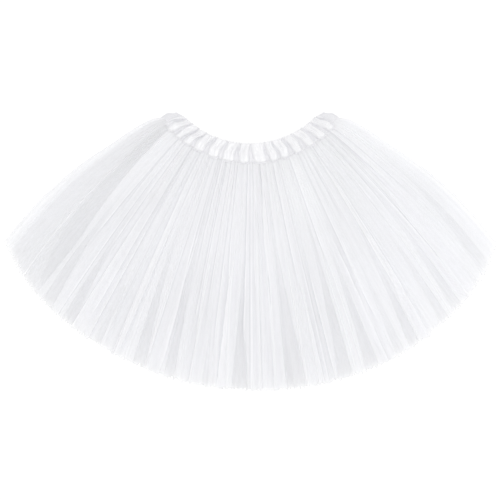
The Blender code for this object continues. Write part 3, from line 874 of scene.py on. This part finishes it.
def loose_end_tree():
    """Loose ends of the net's threads along a cut edge: thin bent hairs that stick out along the attribute
    "way"."""
    tree, nodes, given = geometry_tree("Loose ends", ["Spacing", "Long", "Thread", "Spread", "Seed"])
    spaced, _ = set_along(nodes, given["Geometry"], given["Spacing"])

    def chance(low, high, salt):
        inputs = {2: low, 3: high, "Seed": nodes.maths("ADD", given["Seed"], salt)}
        return nodes.add("FunctionNodeRandomValue", inputs, data_type="FLOAT").outputs[1]

    bent = nodes.add("GeometryNodeCurveQuadraticBezier", LOOSE_END_BEND | {"Resolution": 4}).outputs[0]
    around = nodes.add("GeometryNodeCurvePrimitiveCircle", {"Resolution": 3}).outputs[0]
    thin = nodes.maths("DIVIDE", given["Thread"], given["Long"])
    inputs = {"Geometry": around, "Scale": nodes.combine(thin, thin, thin)}
    profile = nodes.add("GeometryNodeTransform", inputs).outputs[0]
    hair = nodes.add("GeometryNodeCurveToMesh", {"Curve": bent, "Profile Curve": profile}).outputs[0]
    way = nodes.add("GeometryNodeInputNamedAttribute", {"Name": "way"}, data_type="FLOAT_VECTOR").outputs[0]
    off = nodes.combine(chance(-1.0, 1.0, 1.0), chance(-1.0, 1.0, 2.0), chance(0.0, 0.5, 3.0))
    sticks_out = nodes.vector("ADD", way, nodes.scale(off, given["Spread"]))
    turned = nodes.add("FunctionNodeAlignRotationToVector", {"Vector": sticks_out}, axis="X").outputs[0]
    size = nodes.maths("MULTIPLY", given["Long"], chance(0.35, 1.0, 4.0))
    inputs = {"Points": spaced, "Instance": hair, "Rotation": turned}
    inputs["Scale"] = nodes.combine(size, size, size)
    end_tree(tree, nodes, given, nodes.add("GeometryNodeInstanceOnPoints", inputs).outputs[0])
    return tree


def mesh_points(made):
    points = np.empty(3 * len(made.data.vertices), np.float32)
    made.data.vertices.foreach_get("co", points)
    return points.reshape(-1, 3).astype(float)


def casing_stitches(casing, material):
    """The row of stitches that closes the casing, a little above its lower edge, all round the outside."""
    rows = mesh_points(casing).reshape(BAND_ROWS, -1, 3)
    row = rows[BAND_ROWS - 1 - STITCH_ROW]
    made = line_object("casing_stitches", row + np.array([0.0, 0.0, STITCH_SUNK]))
    grow(made, stitch_tree(), material, Pitch=STITCH_PITCH, Thread=STITCH_THREAD, Share=STITCH_SHARE)
    smooth(made)
    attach(made, "root")
    return made


def hem_threads(layers, material):
    """The loose thread ends along the cut hem of the layers, as one piece."""
    tree = loose_end_tree()
    sizes = {"Spacing": LOOSE_END_SPACING, "Long": LONGEST_LOOSE_END, "Thread": LOOSE_END_THREAD}
    made = []
    for number, layer in enumerate(layers):
        rows = mesh_points(layer).reshape(len(TULLE_ROWS), -1, 3)
        ways = rows[-1] - rows[-3]
        ways[:, 2] = np.maximum(ways[:, 2], 0.0)  # none points down, into the floor
        ways /= np.linalg.norm(ways, axis=1, keepdims=True)
        line = line_object(f"hem_threads_{number}", rows[-1], ways)
        grow(line, tree, material, Spread=0.55, Seed=11.0 * number, **sizes)
        made.append(line)
    with bpy.context.temp_override(active_object=made[0], selected_editable_objects=made):
        bpy.ops.object.join()
    made[0].name = "hem_threads"
    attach(made[0], "root")
    return made[0]


# ---------------------------------------------------------------- the studio

VIEW_DISTANCE = 1.8
VIEW_WIDTH = 610 * MM
FLOOR_GLOW = 0.78
DOME = (0.68, 1.054)  # how bright the dome is, at the horizon and overhead
DOME_SIDEWAYS = 0.025  # how much brighter it is on the right than in the middle

Lamp = namedtuple("Lamp", "name place size power")
LAMPS = (
    Lamp(name="right_softbox", place=(1.1, 0.4, 1.2), size=1.2, power=3.3),
    Lamp(name="left_softbox", place=(-1.5, 0.6, 1.1), size=0.6, power=2.3),
)


def white_floor():
    floor = new_object("floor", [(-6, -6, 0), (6, -6, 0), (6, 6, 0), (-6, 6, 0)], [(0, 1, 2, 3)])
    white, _, shader = new_material("floor_white")
    shader.inputs["Base Color"].default_value = (0.3, 0.3, 0.3, 1.0)
    shader.inputs["Roughness"].default_value = 0.9
    shader.inputs["Specular IOR Level"].default_value = 0.0
    shader.inputs["Emission Color"].default_value = (1.0, 1.0, 1.0, 1.0)
    shader.inputs["Emission Strength"].default_value = FLOOR_GLOW
    floor.data.materials.append(white)


def white_dome():
    """A world that lights like a white dome. The camera sees it as plain white."""
    world = bpy.data.worlds.new("studio")
    world.use_nodes = True
    nodes = Nodes(world.node_tree)
    background = world.node_tree.nodes["Background"]
    way = nodes.add("ShaderNodeTexCoord").outputs["Generated"]
    sideways, _, height = nodes.add("ShaderNodeSeparateXYZ", {0: way}).outputs
    dome = nodes.maths("MULTIPLY_ADD", sideways, DOME_SIDEWAYS, nodes.ramp(height, 0.0, 1.0, *DOME))
    seen = nodes.add("ShaderNodeLightPath").outputs["Is Camera Ray"]
    nodes.put(nodes.maths("MAXIMUM", dome, seen), background.inputs["Strength"])
    background.inputs["Color"].default_value = (1.0, 1.0, 1.0, 1.0)
    return world


def studio():
    scene = bpy.context.scene
    scene.view_settings.view_transform = "Standard"
    # Light passes many times between layers of white net, and each pass that is cut off would show as grey.
    scene.cycles.transparent_max_bounces = 64
    scene.cycles.max_bounces = 24
    scene.cycles.diffuse_bounces = 24
    white_floor()
    scene.world = white_dome()
    for lamp in LAMPS:
        light = bpy.data.lights.new(lamp.name, "AREA")
        light.size = lamp.size
        light.energy = lamp.power
        made = bpy.data.objects.new(lamp.name, light)
        made.location = lamp.place
        made.rotation_mode = "QUATERNION"
        made.rotation_quaternion = made.location.to_track_quat("Z", "Y")
        scene.collection.objects.link(made)

    camera = bpy.data.cameras.new("camera")
    camera.sensor_width = 36.0
    camera.lens = camera.sensor_width * VIEW_DISTANCE / VIEW_WIDTH
    made = bpy.data.objects.new("camera", camera)
    made.location = (0.0, (cad_box[0][1] + cad_box[1][1]) / 2, VIEW_DISTANCE)
    scene.collection.objects.link(made)
    scene.camera = made


def main():
    gathers = gather_tree()
    net = tulle_material()
    layers = [tulle_ring(layer, gathers, net) for layer in range(len(LAYERS))]
    casing = waistband_casing(satin_material())
    thread = thread_material()
    casing_stitches(casing, thread)
    hem_threads(layers, thread)
    studio()


main()
